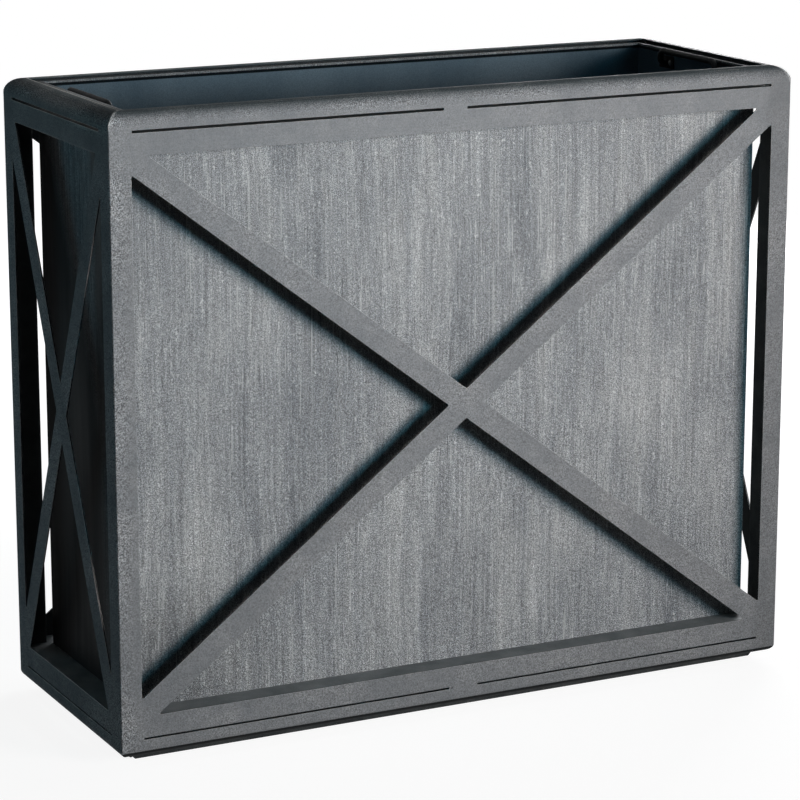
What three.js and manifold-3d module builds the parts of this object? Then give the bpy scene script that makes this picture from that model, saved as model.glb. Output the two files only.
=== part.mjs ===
// A tall trough planter of patinated sheet metal. An open casing, with a cross cut in each
// side, stands round a plain box liner that lifts out. Millimetres, +Z up, front towards -Y.
import * as THREE from "three";
import { mergeVertices } from "three/addons/utils/BufferGeometryUtils.js";
import Module from "manifold-3d";

const wasm = await Module();
wasm.setup();

// Whole planter
const WIDTH = 914;
const DEPTH = 346;
const HEIGHT = 775;
const FLOOR_GAP = 9; // the casing's lowest edge above the floor
const GAP = 0.3; // between pieces that touch
const THROUGH = 1; // how far a cutter runs past the face it cuts
const SAME_POINT = 1e-4; // corners nearer than this are one

// Casing panels
const SHEET = 2;
const TOP_ROLL = 20.5; // outer radius of the rolled top edge
const BOTTOM_ROLL = 12;
const LEDGE_FLAT = 2.5; // flat stretch of the ledge, inside the roll
const CORNER_ROUND = 2.5; // ground edge where two panels meet
const STILE_LAP = 0.2; // how far a side border runs past the post behind it
const BAR = 29; // width of the crossed bars
const BAR_AIM = 4; // how far outside the opening's corner a bar's centre line runs
const CUT_ROUND = 1.4; // radius in the corners of the cut-outs

// Relief slots along the two bend lines of a panel
const SLOT_OFF_ROLL = 2; // slot's middle, from where the top roll starts
const SLOT_OFF_TUBE = 2.2; // slot's middle, from the rail behind the border
const TOP_SLOT = 3.3;
const BOTTOM_SLOT = 2.5;
const SLOT_END = 29; // solid metal left at each end of a slot
const TOP_BRIDGE = 31; // metal left between the two slots of a long panel
const TOP_BRIDGE_AT = -16.5;
const BOTTOM_BRIDGE = 39;
const BOTTOM_BRIDGE_AT = -2.5;
const PINHOLE = 2.2; // pierced beside the left end of the lower bridge
const PINHOLE_IN = 4;

// Welded inner frame
const TUBE = 25;
const TUBE_WALL = 1.6;
const TUBE_ROUND = 2;
const TRAY = 2; // thickness of the base tray
const TRAY_DRAIN = 26;
const PLINTH_BAR = 3;
const PLINTH_BACK = 2.3; // bar's inner face, from the inner face of the rail above it
const PLINTH_CHAMFER = 4;

// Liner
const LINER_ROOM = 5.2; // round the liner, inside the posts
const LINER_WALL = 1.5;
const LINER_ROUND = 3; // outer radius of the folded corners
const LEAST_ROUND = 0.3; // of a corner on the inside of a fold
const RIM_DROP = 3.5; // rim below the casing's top
const HEM_WIDTH = 6;
const HEM_DROP = 4.5;
const HEM_ROUND = 1.1;
const FLOOR_RISE = 12; // liner floor above the walls' lower edge
const DRAIN = 20;
const DRAIN_AT = 210; // each drain's distance from the middle

// Lifting handles
const ROD = 8;
const HANDLE_SPAN = 132; // between the middles of the legs
const HANDLE_PROUD = 1; // top of the rod below the casing's top
const HANDLE_ROOM = 2.5; // between the rod and the liner's hem
const HANDLE_BEND = 6; // inside radius of the upper bends
const FOOT_BEND = 2; // inside radius of the lower ones
const FOOT_EDGE = 6; // from the foot plate's ends to the rivets' middles
const FOOT_TALL = 16;
const FOOT_PLATE = 2;
const RIVET = 4;
const RIVET_LIP = 2; // head's reach past the shank
const RIVET_HEAD_TALL = 2.2;
const RIVET_SPREAD = 1.2; // upset tail's reach past the shank
const RIVET_TAIL_TALL = 1.4;
const RIVET_ROOM = 3; // between a rivet's head and the rod

// Drain plugs
const PLUG_LIP = 5; // flange's reach past the drain
const PLUG_FLANGE_TALL = 3;
const PLUG_TAPER = 0.6;
const PLUG_BELOW = 6;
const PLUG_NECK = 8;
const PLUG_NECK_TALL = 3;
const PLUG_GRIP = 12;
const PLUG_GRIP_TALL = 4;
const PLUG_EDGE = 0.7; // of the broken edges

// Smoothness of round stretches, in steps a quarter turn
const ROLL_STEPS = 9;
const SMALL_STEPS = 3;
const ROD_SIDES = 12;
const ROD_STEPS = 64; // along the whole handle
const TURNED_STEPS = 20;

// Levels and places that several pieces share
const tubeInset = SHEET + GAP; // outer face of every tube, from the casing's face
const tubeInner = tubeInset + TUBE;
const topLedge = TOP_ROLL + LEDGE_FLAT; // the ledge's inner edge, from the casing's face
const slotInset = TOP_ROLL + SLOT_OFF_ROLL; // slot's middle, from the top or lowest edge
const border = slotInset + SLOT_OFF_TUBE + TUBE + GAP; // above and below a panel's openings
const stile = tubeInner + STILE_LAP; // at each side of them
const openingLow = FLOOR_GAP + border;
const openingHigh = HEIGHT - border;
const trayTop = openingLow - GAP;
const bottomRailTop = trayTop - TRAY - GAP;
const bottomRailLow = bottomRailTop - TUBE;
const topRailLow = openingHigh + GAP;
const topRailTop = topRailLow + TUBE;
const plinthInset = tubeInner - PLINTH_BACK - PLINTH_BAR; // outer face of the plinth
const linerLow = trayTop + GAP;
const linerHalfX = WIDTH / 2 - tubeInner - LINER_ROOM;
const linerHalfY = DEPTH / 2 - tubeInner - LINER_ROOM;
const rimTop = HEIGHT - RIM_DROP;
const linerFloorLow = linerLow + FLOOR_RISE;
const linerFloorTop = linerFloorLow + LINER_WALL;

const zinc = { color: 0x4d5358, roughness: 0.55, metalness: 0.75 };
const darkZinc = { color: 0x3a4046, roughness: 0.6, metalness: 0.7 };
const brushedZinc = { color: 0x5a6168, roughness: 0.5, metalness: 0.8 };
const blackRubber = { color: 0x17181a, roughness: 0.9, metalness: 0 };

const planter = new THREE.Group();

// ---- Solids ----

// A closed geometry as a solid that can be joined and cut.
function solid(geometry) {
  const bare = geometry.clone();
  bare.deleteAttribute("normal");
  bare.deleteAttribute("uv");
  const merged = mergeVertices(bare, SAME_POINT);
  return new wasm.Manifold(
    new wasm.Mesh({
      numProp: 3,
      vertProperties: new Float32Array(merged.attributes.position.array),
      triVerts: new Uint32Array(merged.index.array),
    }),
  );
}

function geometryOf(body) {
  const { vertProperties, triVerts } = body.getMesh();
  const geometry = new THREE.BufferGeometry();
  geometry.setAttribute("position", new THREE.BufferAttribute(vertProperties, 3));
  geometry.setIndex(new THREE.BufferAttribute(triVerts, 1));
  const faceted = geometry.toNonIndexed();
  faceted.computeVertexNormals();
  return faceted;
}

function cut(body, tools) {
  return tools.reduce((left, tool) => left.subtract(tool), body);
}

// Corners as [x, y, radius, steps], anticlockwise; a corner without a radius stays sharp.
function outline(corners) {
  return corners.flatMap(([x, y, radius = 0, steps = SMALL_STEPS], i) => {
    const corner = new THREE.Vector2(x, y);
    if (radius <= 0) return [corner];
    const towards = (j) => new THREE.Vector2(...corners[j].slice(0, 2)).sub(corner).normalize();
    const before = towards((i + corners.length - 1) % corners.length);
    const after = towards((i + 1) % corners.length);
    const half = Math.acos(before.dot(after)) / 2;
    const middle = before.clone().add(after).normalize();
    const centre = corner.clone().addScaledVector(middle, radius / Math.sin(half));
    const turn = -Math.sign(before.cross(after)) * (Math.PI - 2 * half);
    const start = before.multiplyScalar(radius / Math.tan(half)).add(corner).sub(centre);
    return Array.from({ length: steps + 1 }, (_, k) =>
      start.clone().rotateAround(new THREE.Vector2(), (turn * k) / steps).add(centre),
    );
  });
}

function rectangle(halfX, halfY, radius = 0) {
  return outline([
    [-halfX, -halfY, radius],
    [halfX, -halfY, radius],
    [halfX, halfY, radius],
    [-halfX, halfY, radius],
  ]);
}

// Where an extruded outline's own x, y and depth lie, for an extrusion along each axis.
const AXES = {
  x: new THREE.Matrix4().makeBasis(
    new THREE.Vector3(0, 1, 0),
    new THREE.Vector3(0, 0, 1),
    new THREE.Vector3(1, 0, 0),
  ),
  y: new THREE.Matrix4().makeBasis(
    new THREE.Vector3(1, 0, 0),
    new THREE.Vector3(0, 0, 1),
    new THREE.Vector3(0, -1, 0),
  ),
  z: new THREE.Matrix4(),
};

// An outline carried along an axis from one place to another.
function prism(points, axis, from, to, hole) {
  const shape = new THREE.Shape(points);
  if (hole) shape.holes.push(new THREE.Path(hole));
  const geometry = new THREE.ExtrudeGeometry(shape, { depth: to - from, bevelEnabled: false });
  geometry.translate(0, 0, axis === "y" ? -to : from);
  return solid(geometry.applyMatrix4(AXES[axis]));
}

function block(x0, x1, y0, y1, z0, z1) {
  const box = new THREE.BoxGeometry(x1 - x0, y1 - y0, z1 - z0);
  return solid(box.translate((x0 + x1) / 2, (y0 + y1) / 2, (z0 + z1) / 2));
}

// A round bar or hole along an axis through (u, v), the other two coordinates in order.
function rod(axis, u, v, diameter, from, to, steps = TURNED_STEPS) {
  const circle = Array.from({ length: steps }, (_, k) => {
    const angle = (2 * Math.PI * k) / steps;
    return new THREE.Vector2(
      u + (diameter / 2) * Math.cos(angle),
      v + (diameter / 2) * Math.sin(angle),
    );
  });
  return prism(circle, axis, from, to);
}

// A profile of [radius, height] turned about +Z.
function turned(profile, steps = TURNED_STEPS) {
  const points = profile.map(([r, z]) => new THREE.Vector2(r, z));
  const lathe = new THREE.LatheGeometry(points, steps);
  return solid(lathe.rotateX(Math.PI / 2));
}

function add(parent, name, body, finish) {
  const geometry = body.isBufferGeometry ? body : geometryOf(body);
  const mesh = new THREE.Mesh(geometry, new THREE.MeshStandardMaterial(finish));
  mesh.name = name;
  parent.add(mesh);
  return mesh;
}

// ---- Casing panels ----

// The bent sheet seen from its end, as [inset from the face, height].
function sheetSection(face) {
  const flange = plinthInset - GAP; // under the casing, to the plinth
  const topInside = TOP_ROLL - SHEET;
  const bottomInside = BOTTOM_ROLL - SHEET;
  return outline([
    [face + flange, FLOOR_GAP],
    [face + flange, FLOOR_GAP + SHEET],
    [face + SHEET, FLOOR_GAP + SHEET, bottomInside, ROLL_STEPS],
    [face + SHEET, HEIGHT - SHEET, topInside, ROLL_STEPS],
    [face + topLedge, HEIGHT - SHEET],
    [face + topLedge, HEIGHT],
    [face, HEIGHT, TOP_ROLL, ROLL_STEPS],
    [face, FLOOR_GAP, BOTTOM_ROLL, ROLL_STEPS],
  ]);
}

// Plan of the space a panel keeps to: mitred at both ends, with rounded outer corners.
function mitrePlan(halfSpan, face) {
  const reach = Math.max(topLedge, plinthInset) + 2 * THROUGH;
  const apart = (GAP / 2) * Math.SQRT2;
  const end = (side) => {
    const centre = new THREE.Vector2(
      side * (halfSpan - CORNER_ROUND),
      face + CORNER_ROUND,
    );
    return Array.from({ length: SMALL_STEPS }, (_, k) => {
      const angle = (Math.PI / 4) * (1 - k / (SMALL_STEPS - 1));
      const x = centre.x + side * CORNER_ROUND * Math.sin(angle);
      return new THREE.Vector2(
        x - (k ? 0 : side * apart),
        centre.y - CORNER_ROUND * Math.cos(angle),
      );
    });
  };
  return [
    ...end(-1),
    ...end(1).reverse(),
    new THREE.Vector2(halfSpan - reach - apart, face + reach),
    new THREE.Vector2(-halfSpan + reach + apart, face + reach),
  ];
}

// The four triangles that leave a border and two crossed bars, as [across, height].
function crossOpenings(halfSpan) {
  const side = halfSpan - stile;
  const middle = (openingLow + openingHigh) / 2;
  const rise = (openingHigh - middle) / (side + BAR_AIM);
  const offset = (BAR / 2) * Math.hypot(1, rise); // bar edge, straight up from its centre line
  const tipIn = side + BAR_AIM - offset / rise;
  const sideTop = middle + rise * side - offset;
  const notch = offset / rise;
  const r = CUT_ROUND;
  const flip = (points) => points.map(([x, z]) => [-x, 2 * middle - z, r]);
  const upper = [[0, middle + offset, r], [tipIn, openingHigh, r], [-tipIn, openingHigh, r]];
  const right = [[notch, middle, r], [side, 2 * middle - sideTop, r], [side, sideTop, r]];
  return [upper, right, flip(upper), flip(right)].map(outline);
}

// Bend-line slots of a panel: one along a short side, two with a bridge along a long one.
function slots(halfSpan, face, long) {
  const end = halfSpan - SLOT_END;
  const line = (height, tall, bridge, at) => {
    const runs = long
      ? [[-end, at - bridge / 2], [at + bridge / 2, end]]
      : [[-end, end]];
    return runs.map(([x0, x1]) =>
      block(x0, x1, face - THROUGH, face + SHEET + THROUGH, height - tall / 2, height + tall / 2),
    );
  };
  const low = FLOOR_GAP + slotInset;
  const pinhole = rod(
    "y", BOTTOM_BRIDGE_AT - BOTTOM_BRIDGE / 2 + PINHOLE_IN, low, PINHOLE,
    face - THROUGH, face + SHEET + THROUGH, 2 * SMALL_STEPS,
  );
  return [
    ...line(HEIGHT - slotInset, TOP_SLOT, TOP_BRIDGE, TOP_BRIDGE_AT),
    ...line(low, BOTTOM_SLOT, BOTTOM_BRIDGE, BOTTOM_BRIDGE_AT),
    ...(long ? [pinhole] : []),
  ];
}

// One side of the casing, built facing -Y and turned to its place.
function panel(name, span, distance, turn, long) {
  const halfSpan = span / 2;
  const face = -distance;
  const sheet = prism(sheetSection(face), "x", -halfSpan, halfSpan);
  const mitred = sheet.intersect(prism(mitrePlan(halfSpan, face), "z", 0, HEIGHT + THROUGH));
  const openings = crossOpenings(halfSpan).map((points) =>
    prism(points, "y", face - THROUGH, face + SHEET + THROUGH),
  );
  const body = cut(mitred, [...openings, ...slots(halfSpan, face, long)]);
  add(planter, name, body, zinc).rotation.z = turn;
}

// ---- Welded inner frame ----

// A square tube along +Z, from its own origin, in the middle of its section.
function squareTube(length) {
  const half = TUBE / 2;
  const bore = half - TUBE_WALL;
  return prism(rectangle(half, half, TUBE_ROUND), "z", 0, length, rectangle(bore, bore));
}

function posts() {
  const x = WIDTH / 2 - tubeInset - TUBE / 2;
  const y = DEPTH / 2 - tubeInset - TUBE / 2;
  const corners = { front_left: [-1, -1], front_right: [1, -1], back_left: [-1, 1], back_right: [1, 1] };
  for (const [corner, [sideX, sideY]] of Object.entries(corners)) {
    const post = add(planter, "post_" + corner, squareTube(topRailTop - bottomRailLow), darkZinc);
    post.position.set(sideX * x, sideY * y, bottomRailLow);
  }
}

// Four rails between the posts, with their middles at one height.
function railRing(level, height) {
  const x = WIDTH / 2 - tubeInset - TUBE / 2;
  const y = DEPTH / 2 - tubeInset - TUBE / 2;
  const clear = TUBE / 2 + GAP; // from a post's middle to a rail's end
  const rails = { front: [-1, y], back: [1, y], left: [-1, x], right: [1, x] };
  for (const [side, [sign, out]] of Object.entries(rails)) {
    const alongX = side === "front" || side === "back";
    const half = (alongX ? x : y) - clear;
    const rail = add(planter, level + "_rail_" + side, squareTube(2 * half), darkZinc);
    if (alongX) {
      rail.rotation.y = Math.PI / 2;
      rail.position.set(-half, sign * out, height);
    } else {
      rail.rotation.x = -Math.PI / 2;
      rail.position.set(sign * out, -half, height);
    }
  }
}

// A tube from front to back under the middle of the tray.
function crossRail() {
  const half = DEPTH / 2 - tubeInner - GAP;
  const rail = add(planter, "cross_rail", squareTube(2 * half), darkZinc);
  rail.rotation.x = -Math.PI / 2;
  rail.position.set(0, -half, bottomRailTop - TUBE / 2);
}

// The plate that the liner stands on, notched round the posts and drained.
function baseTray() {
  const halfX = WIDTH / 2 - tubeInset;
  const halfY = DEPTH / 2 - tubeInset;
  const notch = TUBE + GAP;
  const low = trayTop - TRAY;
  const corners = [[-1, -1], [1, -1], [1, 1], [-1, 1]].map(([sideX, sideY]) =>
    block(
      ...[sideX * (halfX - notch), sideX * (halfX + THROUGH)].sort((a, b) => a - b),
      ...[sideY * (halfY - notch), sideY * (halfY + THROUGH)].sort((a, b) => a - b),
      low - THROUGH, trayTop + THROUGH,
    ),
  );
  const drains = [-1, 1].map((side) =>
    rod("z", side * DRAIN_AT, 0, TRAY_DRAIN, low - THROUGH, trayTop + THROUGH),
  );
  const plate = block(-halfX, halfX, -halfY, halfY, low, trayTop);
  add(planter, "base_tray", cut(plate, [...corners, ...drains]), darkZinc);
}

// Flat bars on edge, under the bottom rails, that stand on the floor.
function plinth() {
  const top = bottomRailLow - GAP;
  const bar = (half) =>
    outline([
      [-half + PLINTH_CHAMFER, 0],
      [half - PLINTH_CHAMFER, 0],
      [half, PLINTH_CHAMFER],
      [half, top],
      [-half, top],
      [-half, PLINTH_CHAMFER],
    ]);
  const x = WIDTH / 2 - plinthInset;
  const y = DEPTH / 2 - plinthInset;
  const inner = y - PLINTH_BAR - GAP;
  add(planter, "plinth_front", prism(bar(x), "y", -y, -y + PLINTH_BAR), darkZinc);
  add(planter, "plinth_back", prism(bar(x), "y", y - PLINTH_BAR, y), darkZinc);
  add(planter, "plinth_left", prism(bar(inner), "x", -x, -x + PLINTH_BAR), darkZinc);
  add(planter, "plinth_right", prism(bar(inner), "x", x - PLINTH_BAR, x), darkZinc);
}

// ---- Liner ----

// Its outer face moved inwards, as a plan outline.
function linerPlan(inset) {
  const round = Math.max(LINER_ROUND - inset, LEAST_ROUND);
  return rectangle(linerHalfX - inset, linerHalfY - inset, round);
}

// The wall seen from its end, with its rim folded inwards and down, as [inset, height].
function wallSection() {
  const lip = rimTop - HEM_DROP;
  const under = rimTop - LINER_WALL;
  return outline([
    [0, linerLow],
    [LINER_WALL, linerLow],
    [LINER_WALL, under],
    [HEM_WIDTH - LINER_WALL, under],
    [HEM_WIDTH - LINER_WALL, lip],
    [HEM_WIDTH, lip],
    [HEM_WIDTH, rimTop, HEM_ROUND],
    [0, rimTop, HEM_ROUND],
  ]);
}

// A section of [inset, height] carried once round the liner's plan.
function carriedRound(section) {
  const rings = section.map(({ x, y }) => linerPlan(x).map((p) => [p.x, p.y, y]));
  const around = rings[0].length;
  const faces = rings.flatMap((_, i) =>
    rings[0].flatMap((_, k) => {
      const next = (i + 1) % rings.length;
      const on = (k + 1) % around;
      const [a, b, c, d] = [[i, k], [i, on], [next, on], [next, k]].map(([r, p]) => r * around + p);
      return [a, c, b, a, d, c];
    }),
  );
  const geometry = new THREE.BufferGeometry();
  geometry.setAttribute("position", new THREE.Float32BufferAttribute(rings.flat(2), 3));
  geometry.setIndex(faces);
  return solid(geometry);
}

// Holes for the rivets of both handles, through a span of |x|.
function rivetHoles(from, to) {
  return [-1, 1].flatMap((side) =>
    rivetPlaces().map(([y, z]) =>
      rod("x", y, z, RIVET + 2 * GAP, ...[side * from, side * to].sort((a, b) => a - b)),
    ),
  );
}

function linerShell() {
  const floor = prism(linerPlan(LINER_WALL / 2), "z", linerFloorLow, linerFloorTop);
  const drains = [-1, 1].map((side) =>
    rod("z", side * DRAIN_AT, 0, DRAIN, linerFloorLow - THROUGH, linerFloorTop + THROUGH),
  );
  const holes = rivetHoles(linerHalfX - LINER_WALL - THROUGH, linerHalfX + THROUGH);
  return cut(carriedRound(wallSection()).add(floor), [...drains, ...holes]);
}

// ---- Handles ----

const handleTop = HEIGHT - HANDLE_PROUD - ROD / 2; // middle of the rod's long run
const upperBend = HANDLE_BEND + ROD / 2;
const lowerBend = FOOT_BEND + ROD / 2;
const footHeight = handleTop - upperBend - lowerBend;
const wallInside = linerHalfX - LINER_WALL;
const plateFace = wallInside - GAP - FOOT_PLATE;
const rodPlane = linerHalfX - HEM_WIDTH - HANDLE_ROOM - ROD / 2;
const rivetHead = RIVET + 2 * RIVET_LIP;
const rivetPitch = ROD + rivetHead + 2 * RIVET_ROOM;

// Middles of the rivets in the end wall, as [y, height].
function rivetPlaces() {
  return [-1, 1].flatMap((end) =>
    [-1, 1].map((side) => [(end * HANDLE_SPAN) / 2 + (side * rivetPitch) / 2, footHeight]),
  );
}

// Straight and bent stretches through the given corners, each with its bend's radius.
function bentPath(corners) {
  const path = new THREE.CurvePath();
  const points = corners.map(([x, y, z]) => new THREE.Vector3(x, y, z));
  let last = points[0];
  const pull = (4 / 3) * (Math.SQRT2 - 1); // puts a cubic curve on a quarter circle
  corners.slice(1, -1).forEach(([, , , radius], i) => {
    const corner = points[i + 1];
    const reach = Math.min(radius, corner.distanceTo(last) - GAP);
    const stop = corner.clone().add(points[i].clone().sub(corner).setLength(reach));
    const go = corner.clone().add(points[i + 2].clone().sub(corner).setLength(reach));
    path.add(new THREE.LineCurve3(last, stop));
    path.add(
      new THREE.CubicBezierCurve3(
        stop,
        stop.clone().lerp(corner, pull),
        go.clone().lerp(corner, pull),
        go,
      ),
    );
    last = go;
  });
  path.add(new THREE.LineCurve3(last, points[points.length - 1]));
  return path;
}

// The bent rod of the right-hand handle; the left one is turned half round.
function handleRod() {
  const y = HANDLE_SPAN / 2;
  const start = plateFace - GAP;
  const path = bentPath([
    [start, -y, footHeight],
    [rodPlane, -y, footHeight, lowerBend],
    [rodPlane, -y, handleTop, upperBend],
    [rodPlane, y, handleTop, upperBend],
    [rodPlane, y, footHeight, lowerBend],
    [start, y, footHeight],
  ]);
  const circle = Array.from({ length: ROD_SIDES }, (_, k) =>
    new THREE.Vector2(ROD / 2, 0).rotateAround(new THREE.Vector2(), (2 * Math.PI * k) / ROD_SIDES),
  );
  return solid(
    new THREE.ExtrudeGeometry(new THREE.Shape(circle), { steps: ROD_STEPS, extrudePath: path }),
  );
}

function footPlate(end) {
  const y = (end * HANDLE_SPAN) / 2;
  const half = rivetPitch / 2 + FOOT_EDGE;
  const plate = outline(
    [[-1, -1], [1, -1], [1, 1], [-1, 1]].map(([side, up]) => [
      y + side * half,
      footHeight + (up * FOOT_TALL) / 2,
      CORNER_ROUND,
    ]),
  );
  const holes = rivetHoles(plateFace - THROUGH, wallInside);
  return cut(prism(plate, "x", plateFace, plateFace + FOOT_PLATE), holes);
}

// A domed rivet along +Z, with its head's underside at its origin.
function rivet() {
  const grip = FOOT_PLATE + LINER_WALL + 3 * GAP; // a gap on each side of both sheets
  const shank = RIVET / 2;
  const dome = Array.from({ length: SMALL_STEPS + 1 }, (_, k) => {
    const angle = (Math.PI / 2) * (k / SMALL_STEPS);
    return [(rivetHead / 2) * Math.sin(angle), -RIVET_HEAD_TALL * Math.cos(angle)];
  });
  return turned([
    ...dome,
    [shank, 0],
    [shank, grip],
    [shank + RIVET_SPREAD, grip],
    [shank + RIVET_SPREAD, grip + RIVET_TAIL_TALL / 2],
    [shank, grip + RIVET_TAIL_TALL],
    [0, grip + RIVET_TAIL_TALL],
  ], TURNED_STEPS / 2);
}

function handle(side, turn) {
  const group = new THREE.Group();
  group.rotation.z = turn;
  planter.add(group);
  add(group, "handle_" + side, handleRod(), darkZinc);
  ["a", "b"].forEach((end, i) => {
    add(group, `handle_foot_${side}_${end}`, footPlate(2 * i - 1), darkZinc);
  });
  rivetPlaces().forEach(([y, z], i) => {
    const one = add(group, `handle_rivet_${side}_${i + 1}`, rivet(), zinc);
    one.rotation.y = Math.PI / 2;
    one.position.set(plateFace - GAP, y, z);
  });
}

// ---- Drain plugs ----

function drainPlug() {
  const body = DRAIN / 2 - GAP;
  const flange = DRAIN / 2 + PLUG_LIP;
  const low = -GAP - LINER_WALL - PLUG_BELOW;
  const neckTop = PLUG_FLANGE_TALL + PLUG_NECK_TALL;
  const top = neckTop + PLUG_GRIP_TALL;
  return turned([
    [0, low],
    [body - PLUG_TAPER - PLUG_EDGE, low],
    [body - PLUG_TAPER, low + PLUG_EDGE],
    [body, 0],
    [flange - PLUG_EDGE, 0],
    [flange, PLUG_EDGE],
    [flange - PLUG_EDGE, PLUG_FLANGE_TALL],
    [PLUG_NECK / 2, PLUG_FLANGE_TALL],
    [PLUG_NECK / 2, neckTop],
    [PLUG_GRIP / 2, neckTop + PLUG_EDGE],
    [PLUG_GRIP / 2, top - PLUG_EDGE],
    [PLUG_GRIP / 2 - PLUG_EDGE, top],
    [0, top],
  ]);
}

panel("front_panel", WIDTH, DEPTH / 2, 0, true);
panel("back_panel", WIDTH, DEPTH / 2, Math.PI, true);
panel("left_end_panel", DEPTH, WIDTH / 2, -Math.PI / 2, false);
panel("right_end_panel", DEPTH, WIDTH / 2, Math.PI / 2, false);
posts();
railRing("top", (topRailLow + topRailTop) / 2);
railRing("bottom", (bottomRailLow + bottomRailTop) / 2);
crossRail();
baseTray();
plinth();
add(planter, "liner_shell", linerShell(), brushedZinc);
handle("right", 0);
handle("left", Math.PI);
for (const [side, x] of [["left", -DRAIN_AT], ["right", DRAIN_AT]]) {
  const plug = add(planter, "drain_plug_" + side, drainPlug(), blackRubber);
  plug.position.set(x, 0, linerFloorTop + GAP);
}

export default planter;
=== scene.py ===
"""A trough planter of patinated zinc.

An open casing with a cross in each side stands round a box liner that lifts out.
"""
import math

import bmesh
import bpy
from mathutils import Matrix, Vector


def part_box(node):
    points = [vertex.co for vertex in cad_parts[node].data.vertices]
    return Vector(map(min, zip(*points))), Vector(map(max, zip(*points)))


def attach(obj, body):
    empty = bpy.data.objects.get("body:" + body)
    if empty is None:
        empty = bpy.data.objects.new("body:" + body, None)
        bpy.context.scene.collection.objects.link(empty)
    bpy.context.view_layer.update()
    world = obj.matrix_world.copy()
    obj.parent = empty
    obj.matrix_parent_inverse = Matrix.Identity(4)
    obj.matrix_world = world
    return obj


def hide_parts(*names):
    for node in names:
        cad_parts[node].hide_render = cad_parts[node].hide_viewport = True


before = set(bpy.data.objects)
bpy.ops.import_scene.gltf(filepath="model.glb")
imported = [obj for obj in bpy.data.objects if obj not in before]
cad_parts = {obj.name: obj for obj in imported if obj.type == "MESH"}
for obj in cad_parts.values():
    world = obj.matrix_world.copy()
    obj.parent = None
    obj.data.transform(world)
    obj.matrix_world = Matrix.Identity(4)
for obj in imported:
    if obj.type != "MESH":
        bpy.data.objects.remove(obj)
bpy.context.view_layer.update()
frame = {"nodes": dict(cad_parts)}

# ---- Sizes, in metres ----

# Edges and joins of the pieces
EDGE_ROUND = 0.0005  # worn edge of a cut sheet
PANEL_ROUND = 0.0008  # the casing's, which are rubbed more
SHARP = math.radians(28)  # a fold steeper than this is an edge
FLAT = math.radians(0.5)  # triangles that meet flatter than this are one face
MERGE = 0.0001  # points of the CAD's nearer than this are one
CLOSE = 1e-6  # the same, for pieces made here
MITRE_NEAR = 0.0026  # how far from a mitre's plane its rounding reaches
MITRE_DEEP = 0.03  # how far in from the casing's corner the mitre runs

# The frame's square tubes
TUBES = ("post_", "top_rail_", "bottom_rail_", "cross_rail")
TUBE = 0.025
TUBE_WALL = 0.0016
TUBE_CORNER = 0.0022
INNER_CORNER = 0.3  # the hollow's corner, as a share of the outer one
TUBE_CORNER_POINTS = 3
RIGHT_ANGLE = math.pi / 2

# Handles
GAP = 0.0003  # between two solids that touch
ROD = 0.008
ROD_SIDES = 20
ROD_BEND_POINTS = 8
HANDLE_SPAN = 0.132  # between the legs
HANDLE_TOP = 0.770
HANDLE_FOOT = 0.754
HANDLE_PLANE = 0.412  # of the legs, from the planter's middle
UPPER_BEND = 0.010
LOWER_BEND = 0.006

# Foot plates, and the rivets through them
PLATE_FACE = 0.4207  # inner face, from the planter's middle
FOOT_PLATE = 0.002
FOOT_LONG = 0.034
FOOT_TALL = 0.016
FOOT_CORNER = 0.002
FOOT_EDGE = 0.0003
RIVET = 0.004
RIVET_HEAD = 0.008
RIVET_TALL = 0.0022
RIVET_RIM = 0.0003
RIVET_PITCH = 0.022
RIVET_GRIP = 0.0044  # plate and wall together
RIVET_SPREAD = 0.0012
RIVET_TAIL_TALL = 0.0014
RIVET_STEPS = 20
DOME_ANGLES = (0, 0.3, 0.6, 0.9, 1.2, 1.45)

half_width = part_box("right_end_panel")[1].x
half_depth = -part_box("front_panel")[0].y

# ---- Where the patinas change, in metres, each from its start to its end ----

BELOW_ROLL = (0.69, 0.735)
ROLL = (0.755, 0.768)
CREST = (0.756, 0.7695)
CREST_INSET = (0.0005, 0.013)
UNDER_ROLL_START = (0.738, 0.75)
UNDER_ROLL_END = (0.764, 0.77)
LEFT_STILE = (-0.446, -0.434)
RIGHT_STILE = (0.41, 0.435)
END_FROM_FRONT = (-0.15, 0.02)
END_NOT_FRONT = (0.001, 0.003)
CORNER_LINE = (0.0015, 0.004)
CORNER_RISE = (0.752, 0.764)
LIP_INSET = (0.0205, 0.0215)
LIP_RISE = (0.7735, 0.7742)
SHEET_BACK = (0.0009, 0.0012)
SHEET_BACK_TOP = (0.752, 0.754)

LINER_INNER_END = (0.4232, 0.4238)
LINER_INNER_SIDE = (0.1392, 0.1398)
LINER_RIM = (0.7688, 0.7694)
HEM_UNDERSIDE = (0.7642, 0.7652)
HEM_OUTSIDE = (0.1409, 0.1413)
LEFT_END_WALL = (-0.4242, -0.4239)
LEFT_END_SIDES = (0.1396, 0.14)
DARK_CORNER_RIGHT = (-0.4, -0.15)
DARK_CORNER_TOP = (0.12, 0.26)

# ---- Colours, as red, green and blue, and ramps of them with their places first ----

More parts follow.
